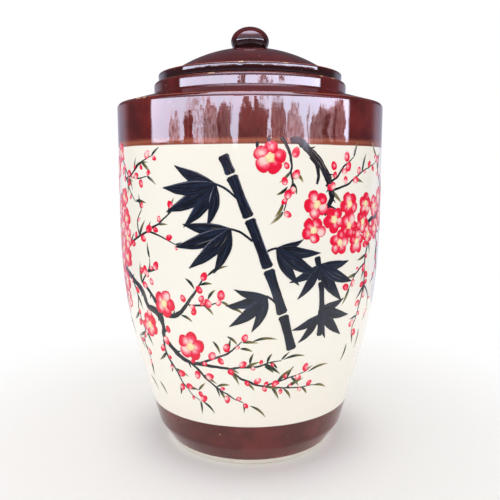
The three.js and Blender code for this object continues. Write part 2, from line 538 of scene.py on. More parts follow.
# Jar body
jarHigh = Vector(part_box("jar_body")[1]) / mm
jarSet = {
    "shoulderDrop": 21.54,  # below the collar's flat top, where the straight wall would meet the shoulder
    "shoulderSlope": 15.9, "edgeDrop": 1.9, "edgeLean": 38.0, "edgeRound": 3.0, "ridgeRound": 1.2,
    "innerRound": 23.0, "bellyHeight": 149.0, "bellyRound": 500.0, "flankTaper": 15.0,
    "footFlareHeight": 22.0, "footFlareRound": 15.0, "footRadius": 81.5, "footRing": 13.0, "footRecess": 5.0,
    "footDraft": 2.0, "footEdgeRound": 1.5, "wall": 9.0, "base": 12.0, "floorRound": 20.0,
    "collarRadius": 94.4, "collarSide": 9.6, "collarRound": 3.0, "collarFootRound": 1.5,
    "seatRadius": 92.8, "seatEdgeRound": 1.6,
    "mouthRadius": 81.0, "mouthEdgeRound": 2.0, "mouthUnderRound": 4.0,
    "ivoryDrop": 6.0, "ivoryRadius": 85.0,  # the ivory inside ends so far under the mouth, within this radius
    "floorSlack": 1.0, "sides": 192, "wobble": 0.16, "wobbleScale": 14.0,
}


def makeJar(material):
    s = jarSet
    radius = jarHigh.x
    seat = jarHigh.z
    shoulder = seat - s["shoulderDrop"]
    slope = math.tan(math.radians(s["shoulderSlope"]))
    taper = math.tan(math.radians(s["flankTaper"]))
    floor = s["footRecess"] + s["base"]
    inner = radius - s["wall"]
    collarBase = shoulder + (radius - s["collarRadius"]) * slope
    lean = math.tan(math.radians(s["edgeLean"]))
    ridge = radius - s["edgeDrop"] * lean / (1 - lean * slope)
    innerShoulder = shoulder - s["wall"] / math.cos(math.radians(s["shoulderSlope"]))
    innerBelly = s["bellyHeight"] + s["wall"] * math.tan(math.radians(s["flankTaper"] / 2))
    footRing = s["footRadius"] - s["footRing"]
    flank = radius - (s["bellyHeight"] - s["footFlareHeight"]) * taper
    innerFlank = inner - (innerBelly - floor) * taper
    corners = [
        (0, s["footRecess"], 0, 0),
        (footRing - s["footDraft"], s["footRecess"], s["footEdgeRound"], 0),
        (footRing, 0, s["footEdgeRound"], 0),
        (s["footRadius"], 0, s["footEdgeRound"], 0),
        (flank, s["footFlareHeight"], s["footFlareRound"], 0),
        (radius, s["bellyHeight"], s["bellyRound"], 0),
        (radius, shoulder - s["edgeDrop"], s["edgeRound"], 0),
        (ridge, shoulder + (radius - ridge) * slope, s["ridgeRound"], 0.5),
        (s["collarRadius"], collarBase, s["collarFootRound"], 0),
        (s["collarRadius"], collarBase + s["collarSide"], s["collarRound"], 0),
        (s["seatRadius"], seat, s["seatEdgeRound"], 0.5),
        (s["mouthRadius"], seat, s["mouthEdgeRound"], 0.5),
        (s["mouthRadius"], innerShoulder + (radius - s["mouthRadius"]) * slope, s["mouthUnderRound"], 0),
        (inner, innerShoulder + (radius - inner) * slope, s["innerRound"], 0),
        (inner, innerBelly, s["bellyRound"] - s["wall"], 0),
        (innerFlank, floor, s["floorRound"], 0),
        (0, floor, 0, 0),
    ]
    piece = turnPiece("jarShell", corners, s, material)

    def isInside(place):
        r = math.hypot(place.x, place.y) / mm
        z = place.z / mm
        wallInside = radius - max(0, innerBelly - z) * taper - s["wall"] / 2
        neck = (radius - s["ivoryRadius"]) if z > shoulder else 0
        return floor - s["floorSlack"] < z < seat - s["ivoryDrop"] and r < wallInside - neck

    inside = [float(isInside(vertex.co)) for vertex in piece.data.vertices]
    fillAttribute(piece.data, "inside", "FLOAT", inside)
    return piece


jarShell = makeJar(jarGlaze())
print("jar turned", len(jarShell.data.polygons), "faces")


# Lid and its knob
lidLow, lidHigh = [Vector(corner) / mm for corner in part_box("lid")]
knobHigh = Vector(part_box("lid_knob")[1]) / mm
lidSet = {
    "seatGap": 0.3, "rimBulge": 1.5, "rimHeight": 10.6, "rimSlope": 9.5, "rimRound": 1.4, "rimThin": 0.72,
    "domeRadius": 76.6, "domeRise": 24.1, "domeFootRound": 2.0, "wall": 8.0,
    "ringOuter": 79.0, "ringWall": 8.0, "ringRound": 2.5, "ringRootRound": 0.5,
    "rimSteps": 8, "domeSteps": 26, "hollowSteps": 20, "sides": 176, "wobble": 0.2, "wobbleScale": 16.0,
}
knobSet = {
    "halfHeight": 14.0, "seatRadius": 15.4, "sink": 0.35,
    "ballSteps": 30, "sides": 96, "wobble": 0.25, "wobbleScale": 40.0,
}


def makeLid(material):
    s = lidSet
    rimUnder = jarHigh.z + s["seatGap"]
    rimTop = rimUnder + s["rimHeight"]
    rimEdge = lidHigh.x - s["rimBulge"]
    rimShoulder = rimTop - (lidHigh.x - s["domeRadius"]) * math.tan(math.radians(s["rimSlope"]))
    rimLip = rimShoulder - s["rimRound"] * math.tan(math.radians(45 - s["rimSlope"] / 2)) - rimUnder
    sphere = (s["domeRadius"] ** 2 + s["domeRise"] ** 2) / (2 * s["domeRise"])
    centre = rimTop + s["domeRise"] - sphere
    hollow = sphere - s["wall"]
    ringInner = s["ringOuter"] - s["ringWall"]
    rim = arcCorners(rimEdge, rimUnder + rimLip, s["rimBulge"], rimLip, -90, 0, s["rimSteps"])
    rim[-1] = (lidHigh.x, rimShoulder, s["rimRound"], s["rimThin"])
    domeFoot = math.degrees(math.acos(s["domeRadius"] / sphere))
    dome = arcCorners(0, centre, sphere, sphere, domeFoot, 90, s["domeSteps"])
    dome[0] = (dome[0][0], dome[0][1], s["domeFootRound"], 0)
    hollowFoot = math.degrees(math.acos(ringInner / hollow))
    inside = arcCorners(0, centre, hollow, hollow, 90, hollowFoot, s["hollowSteps"])
    ring = [
        (ringInner, lidLow.z, s["ringRound"], 0),
        (s["ringOuter"], lidLow.z, s["ringRound"], 0),
        (s["ringOuter"], rimUnder, s["ringRootRound"], 0),
    ]
    return turnPiece("lidDome", inside + ring + rim + dome, s, material)


def makeKnob(material):
    s = knobSet
    radius = knobHigh.x
    centre = knobHigh.z - s["halfHeight"]
    cut = math.degrees(math.acos(s["seatRadius"] / radius))
    seat = centre - s["halfHeight"] * math.sin(math.radians(cut)) - s["sink"]
    ball = arcCorners(0, centre, radius, s["halfHeight"], -cut, 90, s["ballSteps"])
    return turnPiece("lidBall", [(0, seat, 0, 0), (s["seatRadius"], seat, 0, 0)] + ball, s, material)


brownLid = lidGlaze()
lidDome = makeLid(brownLid)
lidBall = makeKnob(brownLid)
print("lid and knob turned")


# Painting: drawn on the unrolled wall, X along its girth and Y up, then laid on the jar by rays
wallSet = {
    "radius": 130.0 * mm, "castFrom": 0.2, "rayLength": 1.0,
    "sink": 0.12 * mm, "thickest": 0.12 * mm, "raisedFrom": 1e-6,
}


def onSheet(bearing, height):  # degrees from the front and mm above the floor, to the unrolled wall
    return (math.radians(bearing) * wallSet["radius"], height * mm, 0.0)


def layOnWallGroup():
    s = wallSet
    tree, given = newTree("layOnWall", {"Wall": "Object", "Lift": "Float", "Spread": "Float"})
    place = partsOf(tree, positionOf(tree))
    bearing = calc(tree, "DIVIDE", place[0], s["radius"])
    outward = vectorOf(tree, calc(tree, "SINE", bearing), times(tree, calc(tree, "COSINE", bearing), -1.0))
    source = vectorCalc(tree, "ADD", scaled(tree, outward, s["castFrom"]), vectorOf(tree, z=place[1]))
    ray = addNode(tree, "GeometryNodeRaycast", {
        "Target Geometry": shapeOf(tree, given["Wall"]), "Source Position": source,
        "Ray Direction": scaled(tree, outward, -1.0), "Ray Length": s["rayLength"]}).outputs
    chance = partsOf(tree, readAttribute(tree, "chance", "FLOAT_VECTOR"))[0]
    layer = plus(tree, given["Lift"], times(tree, chance, given["Spread"]))
    top = plus(tree, layer, calc(tree, "MINIMUM", place[2], s["thickest"]))
    raised = output(tree, "FunctionNodeCompare", {0: place[2], 1: s["raisedFrom"]},
                    data_type="FLOAT", operation="GREATER_THAN")
    choice = {"Switch": raised, "False": -s["sink"], "True": top}
    rise = output(tree, "GeometryNodeSwitch", choice, input_type="FLOAT")
    laid = vectorCalc(tree, "ADD", ray["Hit Position"], scaled(tree, ray["Hit Normal"], rise))
    addNode(tree, "NodeGroupOutput", {"Geometry": setPosition(tree, given["Geometry"], Position=laid)})
    return tree


layOnWall = layOnWallGroup()


def paintTree(name, sockets):
    paintSockets = {"Wall": "Object", "Lift": "Float", "Spread": "Float", "Material": "Material"}
    return newTree(name, {**sockets, **paintSockets})


def finishPaint(tree, geometry, given, seed):  # gives each touch its own chance, then lays it on the wall
    island = output(tree, "GeometryNodeInputMeshIsland")
    chance = vectorOf(tree, *(randomBetween(tree, 0.0, 1.0, seed + i, island) for i in range(3)))
    marked = keepAttribute(tree, geometry, "chance", chance, "FLOAT_VECTOR")
    inputs = {"Geometry": marked, "Wall": given["Wall"], "Lift": given["Lift"], "Spread": given["Spread"]}
    closeTree(tree, output(tree, "GeometryNodeGroup", inputs, node_tree=layOnWall), given["Material"])


strokeShape = {"sides": 12, "square": 0.35, "relief": 0.01, "flatFrom": 0.1, "knocks": (80.0, 2.0),
               "shakeDetail": 2.0, "seed": 11}


def strokeTree():  # a flat brush stroke along every line, as wide as the line's points say
    s = strokeShape
    tree, given = paintTree("brushStroke", {
        "Step": "Float", "Shake": "Float", "Shake Scale": "Float", "Jitter": "Float"})
    spaced = {"Curve": bowedCurve(tree, given["Geometry"]), "Length": given["Step"]}
    even = output(tree, "GeometryNodeResampleCurve", spaced, mode="LENGTH")
    place = positionOf(tree)
    bent = setPosition(tree, even, Offset=sideways(tree, place, given["Jitter"], *s["knocks"]))
    level = output(tree, "GeometryNodeSetCurveNormal", {"Curve": bent}, mode="Z_UP")
    along = addNode(tree, "GeometryNodeSplineParameter").outputs
    timed = keepAttribute(tree, keepAttribute(tree, level, "along", along["Factor"]), "run", along["Length"])
    shake = sway(tree, place, given["Shake"], given["Shake Scale"], s["shakeDetail"])
    pressure = plus(tree, shake, 1.0)
    width = times(tree, readAttribute(tree, "halfWidth"), pressure)
    ring = circleCurve(tree, s["sides"], 1.0)
    across, up = partsOf(tree, place)[:2]
    squared = calc(tree, "POWER", calc(tree, "ABSOLUTE", across), s["square"])
    flatX = times(tree, calc(tree, "SIGN", across), squared)
    flatY = times(tree, calc(tree, "SIGN", calc(tree, "SNAP", up, s["flatFrom"])), s["relief"])
    flat = setPosition(tree, ring, Position=vectorOf(tree, flatX, flatY))
    marked = keepAttribute(tree, flat, "across", across)
    sweep = {"Curve": timed, "Profile Curve": marked, "Scale": width, "Fill Caps": True}
    solid = output(tree, "GeometryNodeCurveToMesh", sweep)
    touch = vectorOf(tree, readAttribute(tree, "across"), readAttribute(tree, "along"))
    finishPaint(tree, keepAttribute(tree, solid, "dab", touch, "FLOAT_VECTOR"), given, s["seed"])
    return tree


sprigShape = {"leastSwing": 0.4, "mostSwing": 1.5, "seed": 23}


def sprigTree():  # dabs that grow from a twig, to its two sides in turn
    s = sprigShape
    tree, given = paintTree("sprig", {
        "Dab": "Object", "Spacing": "Float", "Swing": "Float", "Smallest": "Float", "Largest": "Float",
        "Share": "Float", "Stem": "Float", "Seed": "Int"})
    spaced = {"Curve": bowedCurve(tree, given["Geometry"]), "Length": given["Spacing"]}
    dots = addNode(tree, "GeometryNodeCurveToPoints", spaced, mode="LENGTH").outputs
    heading = partsOf(tree, dots["Tangent"])
    course = calc(tree, "ARCTAN2", heading[1], heading[0])
    index = output(tree, "GeometryNodeInputIndex")
    side = minus(tree, times(tree, calc(tree, "MODULO", index, 2.0), 2.0), 1.0)
    reach = randomBetween(tree, s["leastSwing"], s["mostSwing"], given["Seed"])
    aim = plus(tree, course, times(tree, times(tree, side, given["Swing"]), reach))
    ahead = vectorOf(tree, calc(tree, "COSINE", aim), calc(tree, "SINE", aim))
    grown = setPosition(tree, dots["Points"], Offset=scaled(tree, ahead, given["Stem"]))
    size = randomBetween(tree, given["Smallest"], given["Largest"], plus(tree, given["Seed"], 1))
    draw = {6: given["Share"], 8: plus(tree, given["Seed"], 2)}
    drawn = addNode(tree, "FunctionNodeRandomValue", draw, data_type="BOOLEAN").outputs[3]
    turn = turnedTo(tree, minus(tree, aim, math.pi / 2))
    dabs = placed(tree, grown, shapeOf(tree, given["Dab"]), turn, size, Selection=drawn)
    finishPaint(tree, output(tree, "GeometryNodeRealizeInstances", {"Geometry": dabs}), given, s["seed"])
    return tree


blossomShape = {"knocks": (95.0, 1.0), "seed": 37}


def blossomTree():  # a ring of petals and a heart on every point
    s = blossomShape
    tree, given = paintTree("blossom", {
        "Petal": "Object", "Heart": "Object", "Petals": "Int", "Reach": "Float", "Petal Size": "Float",
        "Heart Size": "Float", "Shake": "Float"})
    ring = output(tree, "GeometryNodeMeshCircle", {"Vertices": given["Petals"], "Radius": given["Reach"]})
    place = positionOf(tree)
    outwards = output(tree, "FunctionNodeAlignRotationToVector", {"Vector": place}, axis="Y", pivot_axis="Z")
    petals = placed(tree, ring, shapeOf(tree, given["Petal"]), outwards, given["Petal Size"])
    heartScale = vectorOf(tree, *[given["Heart Size"]] * 3)
    heart = output(tree, "GeometryNodeTransform", {
        "Geometry": shapeOf(tree, given["Heart"]), "Scale": heartScale})
    flower = addNode(tree, "GeometryNodeJoinGeometry")
    for part in (petals, heart):
        tree.links.new(part, flower.inputs[0])
    turn = turnedTo(tree, readAttribute(tree, "turn"))
    flowers = placed(tree, given["Geometry"], flower.outputs[0], turn, readAttribute(tree, "size"))
    real = output(tree, "GeometryNodeRealizeInstances", {"Geometry": flowers})
    shaken = setPosition(tree, real, Offset=sideways(tree, place, given["Shake"], *s["knocks"]))
    finishPaint(tree, shaken, given, s["seed"])
    return tree


brushStroke = strokeTree()
sprig = sprigTree()
blossom = blossomTree()


# Enamels: noises and fades as for the glazes, on each stroke's own width and length
enamelFinish = {"roughness": 0.1, "ior": 1.5}
bristleSet = {"across": 3.0, "apart": 40.0, "sheen": (1.6, 4.0, 0.65), "sheenFade": (0.42, 0.68),
              "dry": (1.1, 5.0, 0.7), "dryRun": 0.13, "innerFade": (0.9, 0.35)}


def inkEnamel(name, ink):
    s = bristleSet
    material, tree, shader = newMaterial(name, **enamelFinish)
    across = attributeOf(tree, "across")
    run = times(tree, attributeOf(tree, "run"), ink["streakPerMetre"])
    chance = attributeOf(tree, "chance", "Vector")
    stretched = vectorOf(tree, times(tree, across, s["across"]), run)
    bristles = vectorCalc(tree, "ADD", stretched, scaled(tree, chance, s["apart"]))
    # the sheen colour, streaked along the bristles, is a painted sheen on the dark ink
    sheen = fade(tree, noise(tree, bristles, *s["sheen"]), *s["sheenFade"])
    inkAndSheen = mixColour(tree, sheen, ink["dark"], ink["sheen"])
    inner = fade(tree, calc(tree, "ABSOLUTE", across), *s["innerFade"])
    dryTo = ink["dryFrom"] + s["dryRun"]
    hairs = fade(tree, noise(tree, bristles, *s["dry"]), ink["dryFrom"], dryTo)
    colourShader(tree, shader, mixColour(tree, times(tree, hairs, inner), inkAndSheen, ink["dry"]))
    return material


leafInk = {
    "dark": paint(24, 44, 34), "olive": paint(112, 102, 52), "tip": paint(196, 182, 138),
    "luck": 0.7, "streak": 0.5, "streakScale": 6.0, "streaks": (1.0, 3.0),
    "oliveFade": (0.25, 0.75), "tipFade": (0.8, 1.35),
}


def leafEnamel():
    s = leafInk
    material, tree, shader = newMaterial("leafEnamel", **enamelFinish)
    dab = attributeOf(tree, "dab", "Vector")
    luck = partsOf(tree, attributeOf(tree, "chance", "Vector"))[0]
    along = partsOf(tree, dab)[1]
    loaded = plus(tree, along, times(tree, minus(tree, luck, 0.5), s["luck"]))
    worn = plus(tree, loaded, sway(tree, scaled(tree, dab, s["streakScale"]), s["streak"], *s["streaks"]))
    lower = mixColour(tree, fade(tree, worn, *s["oliveFade"]), s["dark"], s["olive"])
    colourShader(tree, shader, mixColour(tree, fade(tree, worn, *s["tipFade"]), lower, s["tip"]))
    return material


petalInk = {
    "pale": paint(255, 214, 208), "pink": paint(252, 148, 158), "rose": paint(248, 76, 110),
    "crimson": paint(238, 18, 60), "line": paint(222, 12, 50),
    "heart": paint(253, 240, 190), "heartEdge": paint(250, 198, 150), "fleck": paint(238, 140, 112),
    "paleAt": (0.5, 0.7, 0.5), "paleWander": (0.8, 0.9, 0.0), "apart": 30.0,
    "washes": (2.2, 3.0), "wash": 0.6, "usualLoad": 0.42, "load": 0.8,
    "pinkFade": (0.08, 0.42), "roseFade": (0.36, 0.66), "crimsonFade": (0.6, 0.9), "lineFade": (0.74, 0.96),
    "heartFade": (0.45, 0.95), "flecks": (4.0, 1.0), "fleckFade": (0.6, 0.68), "fleckStrength": 0.6,
}


def blossomEnamel():
    s = petalInk
    material, tree, shader = newMaterial("blossomEnamel", **enamelFinish)
    dab = attributeOf(tree, "dab", "Vector")
    chance = attributeOf(tree, "chance", "Vector")
    luck = partsOf(tree, chance)[2]
    shift = vectorCalc(tree, "MULTIPLY", vectorCalc(tree, "SUBTRACT", chance, s["paleAt"]), s["paleWander"])
    offset = lengthOf(tree, vectorCalc(tree, "SUBTRACT", dab, shift))
    spread = vectorCalc(tree, "ADD", dab, scaled(tree, chance, s["apart"]))
    depth = plus(tree, offset, sway(tree, spread, s["wash"], *s["washes"]))
    loaded = plus(tree, depth, times(tree, minus(tree, luck, s["usualLoad"]), s["load"]))
    rim = lengthOf(tree, dab)
    inner = mixColour(tree, fade(tree, loaded, *s["pinkFade"]), s["pale"], s["pink"])
    outer = mixColour(tree, fade(tree, loaded, *s["roseFade"]), inner, s["rose"])
    full = mixColour(tree, fade(tree, loaded, *s["crimsonFade"]), outer, s["crimson"])
    petal = mixColour(tree, fade(tree, rim, *s["lineFade"]), full, s["line"])
    heartWash = mixColour(tree, fade(tree, rim, *s["heartFade"]), s["heart"], s["heartEdge"])
    flecks = fade(tree, noise(tree, spread, *s["flecks"]), *s["fleckFade"])
    heartColour = mixColour(tree, times(tree, flecks, s["fleckStrength"]), heartWash, s["fleck"])
    colourShader(tree, shader, mixColour(tree, attributeOf(tree, "heart"), petal, heartColour))
    return material


barkEnamel = inkEnamel("barkEnamel", {
    "dark": paint(19, 18, 24), "sheen": paint(38, 44, 62), "dry": paint(172, 158, 142),
    "dryFrom": 0.56, "streakPerMetre": 26.0})
brushInk = inkEnamel("brushInk", {
    "dark": paint(17, 19, 29), "sheen": paint(36, 48, 72), "dry": paint(126, 120, 114),
    "dryFrom": 0.59, "streakPerMetre": 24.0})
leafPaint = leafEnamel()
petalPaint = blossomEnamel()


# One touch of the brush: flat, with a steep edge that sinks into the glaze, drawn once and repeated
petalSet = {"wide": 0.95, "flare": 0.14, "lobes": 0, "lobe": 0.0, "middle": 0.0, "spokes": 14,
            "rings": (0.55, 0.9, 0.97, 1.0), "relief": 0.008, "heart": 0.0}
budSet = {**petalSet, "wide": 0.76, "flare": -0.12, "middle": 1.0, "spokes": 12}
heartSet = {"wide": 1.0, "flare": 0.0, "lobes": 5, "lobe": 0.15, "middle": 0.0, "spokes": 15,
            "rings": (0.6, 0.96, 1.0), "relief": 0.2, "heart": 1.0}


def dabShape(name, s):
    def outlineAt(angle):
        reach = 1 + s["lobe"] * math.sin(s["lobes"] * angle)
        flare = 1 + s["flare"] * math.sin(angle)
        return (s["wide"] * reach * math.cos(angle) * flare, reach * math.sin(angle))

    shape = bmesh.new()
    spokes = s["spokes"]
    middleY = s["middle"]
    corners = [outlineAt(2 * math.pi * i / spokes) for i in range(spokes)]
    rows = []
    for ring in s["rings"]:
        height = s["relief"] * math.sqrt(max(0.0, 1 - ring ** 2))
        rows.append([shape.verts.new((ring * x, middleY + ring * y, height)) for x, y in corners])
    middle = shape.verts.new((0, middleY, s["relief"]))
    for i in range(spokes):
        j = (i + 1) % spokes
        shape.faces.new((middle, rows[0][i], rows[0][j]))
        for inner, outer in zip(rows, rows[1:]):
            shape.faces.new((inner[i], outer[i], outer[j], inner[j]))
    shape.faces.new(reversed(rows[-1]))
    mesh = meshFrom(shape, name)
    fillAttribute(mesh, "dab", "FLOAT_VECTOR", [(v.co.x, v.co.y - middleY, 0) for v in mesh.vertices])
    fillAttribute(mesh, "heart", "FLOAT", [s["heart"]] * len(mesh.vertices))
    return newObject(name, mesh)


leafSet = {
    "steps": 8, "half": 0.105, "bend": 0.18, "root": 0.08, "run": 0.9, "tip": 0.985, "fullness": 0.75,
    "relief": 0.004,
    "across": ((-1, 0), (-0.86, 1), (0, 1), (0.86, 1), (1, 0), (0, 0)),  # half widths, and raised or not
}


def leafShape(name):  # a slim bent stroke from its root at the origin to its tip
    s = leafSet
    shape = bmesh.new()
    rows = []
    for i in range(s["steps"] + 1):
        along = i / s["steps"]
        width = s["half"] * math.sin(math.pi * min(s["tip"], s["root"] + s["run"] * along) ** s["fullness"])
        middle = s["bend"] * along ** 2
        spots = [(middle + width * x, along, s["relief"] * top) for x, top in s["across"]]
        rows.append([shape.verts.new(spot) for spot in spots])
    count = len(s["across"])
    for low, high in zip(rows, rows[1:]):
        for k in range(count):
            shape.faces.new((low[k], low[(k + 1) % count], high[(k + 1) % count], high[k]))
    shape.faces.new(reversed(rows[0]))
    shape.faces.new(rows[-1])
    bmesh.ops.recalc_face_normals(shape, faces=shape.faces[:])
    mesh = meshFrom(shape, name)
    fillAttribute(mesh, "dab", "FLOAT_VECTOR", [(v.co.x, v.co.y, 0) for v in mesh.vertices])
    return newObject(name, mesh)


petalDab = dabShape("petalDab", petalSet)
heartDab = dabShape("heartDab", heartSet)
budDab = dabShape("budDab", budSet)
leafDab = leafShape("leafDab")


# Branches and twigs: (bearing in degrees from the front, height in mm, half width in mm)
branchLayout = [
    [(-152, 52, 4.6), (-138, 96, 4.4), (-124, 140, 4.2), (-113, 196, 3.8), (-103, 250, 3.4),
     (-96, 301, 2.8)],
    [(-124, 146, 2.6), (-106, 166, 2.8), (-88, 184, 2.8), (-70, 186, 2.8), (-58, 177, 2.9),
     (-50, 168, 2.9), (-46, 154, 2.7), (-40, 148, 2.6), (-38, 136, 2.5), (-38.5, 129, 2.5),
     (-33, 116, 2.4), (-27, 108.5, 2.0), (-20, 107.5, 1.6), (-9, 106.5, 1.1), (-5, 107, 0.9)],
    [(-47, 174, 1.5), (-43.5, 167, 1.9), (-40, 157, 1.9), (-38, 145, 1.7), (-38.5, 133, 1.2)],
    [(-46, 153, 2.2), (-39, 152, 2.3), (-32, 150, 2.3), (-26, 159, 1.7), (-23, 169, 1.3), (-20, 177, 0.9),
     (-17, 188, 0.5)],
    [(-113, 196, 2.2), (-99, 210, 2.0), (-86, 212, 1.7), (-74, 206, 1.3), (-62, 212, 0.9)],
    [(-104, 244, 2.0), (-92, 254, 1.8), (-80, 246, 1.5), (-66, 254, 0.9)],
    [(14.5, 298, 2.2), (17.5, 299, 3.0), (21, 292, 3.2), (25.5, 283, 3.2), (29, 272, 3.3), (31, 262, 3.1),
     (31.5, 252, 2.6), (30, 244, 2.2), (28.5, 238, 1.2)],
    [(22, 286, 1.3), (24.5, 279, 1.7), (25.6, 271, 1.5), (25, 264, 1.0)],
    [(30, 245, 1.6), (33, 243, 1.2), (36, 240, 0.7)],
    [(2.4, 298, 1.2), (2.6, 294, 1.3), (3, 291, 0.8)],
    [(6.4, 301, 1.2), (6.8, 296, 1.5), (7, 291, 0.9)],
    [(11.2, 301, 1.7), (12.8, 295, 1.4), (14.4, 287, 1.1), (14.9, 277, 0.9), (13.8, 271, 0.6)],
    [(120, 302, 4.0), (106, 279, 3.8), (92, 256, 3.4), (76, 240, 2.9), (60, 232, 2.2), (46, 224, 1.4)],
    [(-138, 96, 2.4), (-152, 118, 2.2), (-168, 146, 2.0), (-182, 176, 1.7), (-192, 206, 1.3),
     (-200, 232, 0.8)],
    [(106, 279, 2.2), (118, 250, 2.0), (126, 222, 1.7), (128, 194, 1.3), (124, 166, 0.8)],
]
twigLayout = [
    [(-66, 294, 1.1), (-62, 281, 1.0), (-57, 270, 0.9), (-52, 274, 0.8), (-46, 282, 0.6), (-40, 287, 0.4)],
    [(-62, 281, 0.9), (-60, 268, 0.8), (-56, 257, 0.6), (-51, 248, 0.4)],
    [(-57, 270, 0.8), (-49, 268, 0.6), (-43, 270, 0.4)],
    [(-56, 210, 1.2), (-49, 217, 1.1), (-43, 222, 1.0), (-36, 231, 0.8), (-31, 240, 0.6), (-27, 249, 0.4)],
    [(-43, 222, 0.9), (-36, 219, 0.7), (-29, 213, 0.4)],
    [(-49, 217, 0.9), (-50, 230, 0.7), (-47, 241, 0.4)],
    [(-58, 177, 1.0), (-54, 162, 0.9), (-55, 146, 0.7), (-52, 130, 0.4)],
    [(-44, 146, 1.0), (-51, 132, 0.9), (-55, 116, 0.7), (-53, 100, 0.4)],
    [(-38.5, 130, 1.3), (-39, 114, 1.2), (-35, 98, 1.0), (-31, 83, 0.7), (-24, 81, 0.4)],
    [(-26, 108, 1.2), (-21, 98, 1.1), (-16, 88, 0.9), (-8, 77, 0.6), (-3, 72, 0.4)],
    [(-31, 83, 0.7), (-28, 75, 0.5), (-24, 70, 0.4)],
    [(-21, 109, 1.2), (-12.5, 117, 1.0), (-8, 122.5, 0.8), (-3, 131, 0.4)],
    [(-9, 106, 1.1), (-4.5, 97.5, 1.1), (1, 92, 1.0), (6, 89, 0.9), (16, 85.5, 0.7), (24, 85, 0.6),
     (30, 84.5, 0.4)],
    [(6, 89, 0.9), (12, 92.5, 0.8), (19, 96.5, 0.6), (24, 99, 0.4)],
    [(-24, 162, 0.9), (-17, 163, 0.8), (-11, 167, 0.4)],
    [(-49, 175, 0.9), (-45.5, 184, 0.8), (-43, 191, 0.6), (-42.5, 199, 0.4)],
    [(-9, 106.5, 1.0), (3, 108.5, 0.9), (7, 111.5, 0.7), (13, 113.5, 0.4)],
    [(14.5, 274, 0.9), (15.6, 266, 0.8), (14, 257, 0.7), (12, 242, 0.4)],
    [(29, 262, 1.2), (34, 270, 1.0), (38, 279, 0.8), (43, 286, 0.4)],
    [(31, 258, 1.1), (39, 263, 0.9), (46, 271, 0.7), (53, 277, 0.5), (61, 282, 0.4)],
    [(56, 228, 1.3), (55, 210, 1.1), (53, 192, 1.0), (54, 172, 0.9), (52, 152, 0.7), (49, 130, 0.4)],
    [(60, 232, 1.2), (65, 214, 1.0), (68, 196, 0.8), (66, 178, 0.5)],
    [(53, 192, 0.9), (47, 184, 0.7), (43, 172, 0.4)],
    [(54, 172, 0.9), (60, 160, 0.7), (62, 146, 0.4)],
    [(76, 240, 1.3), (72, 258, 1.1), (66, 272, 0.9), (62, 288, 0.5)],
    [(84, 248, 1.2), (88, 226, 1.1), (90, 204, 1.0), (86, 182, 0.8), (88, 160, 0.5)],
    [(126, 222, 1.1), (114, 208, 1.0), (104, 192, 0.8), (100, 172, 0.5)],
    [(128, 194, 1.1), (138, 178, 1.0), (144, 158, 0.8), (142, 138, 0.5)],
    [(-88, 184, 1.1), (-84, 166, 1.0), (-76, 150, 0.8), (-72, 132, 0.5)],
    [(-124, 140, 1.2), (-112, 132, 1.1), (-100, 118, 0.9), (-92, 102, 0.7), (-82, 92, 0.4)],
    [(-168, 146, 1.1), (-158, 158, 1.0), (-148, 176, 0.8), (-142, 196, 0.5)],
    [(-182, 176, 1.1), (-170, 192, 1.0), (-160, 212, 0.8), (-154, 234, 0.5)],
    [(-138, 96, 1.1), (-154, 92, 1.0), (-170, 82, 0.8), (-184, 70, 0.5)],
    [(-152, 118, 1.1), (-166, 114, 1.0), (-182, 118, 0.8), (-196, 112, 0.5)],
    [(-103, 250, 1.1), (-114, 262, 1.0), (-124, 278, 0.8), (-134, 288, 0.5)],
    [(-113, 200, 1.1), (-126, 212, 1.0), (-136, 230, 0.8), (-144, 252, 0.5)],
]
# Open blossoms: (bearing, height, radius in mm)
blossomLayout = [
    (7, 285, 13.5), (25, 247, 12.0), (24, 226, 11.5), (33, 234, 11.5), (41, 246, 11.5), (52, 245, 11.0),
    (41, 228, 11.5), (36, 214, 11.0), (46, 213, 11.0), (55, 218, 10.5), (50, 230, 10.5), (61, 243, 10.5),
    (62, 222, 10.5), (70, 233, 11.0), (68, 250, 10.0), (78, 226, 10.5), (80, 250, 10.5), (90, 240, 10.0),
    (-66, 291, 9.5), (-72, 278, 10.5), (-63, 250, 10.0), (-70, 242, 11.0), (-61, 231, 10.5),
    (-68, 223, 11.0), (-60, 213, 10.5), (-66, 203, 11.0), (-74, 212, 11.0), (-61, 195, 10.5),
    (-69, 188, 11.0), (-74, 197, 10.0), (-65, 171, 10.5), (-72, 176, 10.5), (-66, 154, 10.0),
    (-72, 160, 10.0), (-80, 262, 10.5), (-82, 236, 11.0), (-80, 220, 10.5), (-84, 202, 11.0),
    (-82, 180, 10.0), (-90, 214, 10.5), (-90, 250, 10.0), (-94, 232, 10.5), (-36, 160, 12.5),
    (-47, 136, 12.0), (-25, 124, 14.0), (112, 266, 12.0), (100, 266, 11.0), (120, 240, 12.0),
    (130, 212, 11.0), (120, 200, 10.0), (126, 178, 11.0), (-118, 176, 12.0), (-106, 192, 11.0),
    (-108, 222, 11.5), (-100, 262, 11.0), (-112, 246, 10.5), (-130, 128, 12.0), (-144, 112, 11.0),
    (-160, 128, 12.0), (-172, 156, 11.5), (-184, 186, 11.0), (-194, 214, 11.0), (-162, 148, 10.0),
    (-152, 102, 10.0), (-202, 236, 9.0), (-186, 168, 9.0), (-128, 152, 10.0),
]
# Fuller buds that stand apart from the twigs: (bearing, height)
looseBuds = [
    (-17.9, 184), (-18.4, 173), (-19.2, 165), (-15.2, 161), (-12.3, 163), (-25.8, 164), (-22.7, 153),
    (-44.3, 181), (-40.1, 189), (-41.7, 175), (-49, 183), (-35.2, 133), (13, 252), (12.7, 263),
    (15.8, 268), (13.7, 276), (16, 285), (33, 275), (39.3, 274),
]
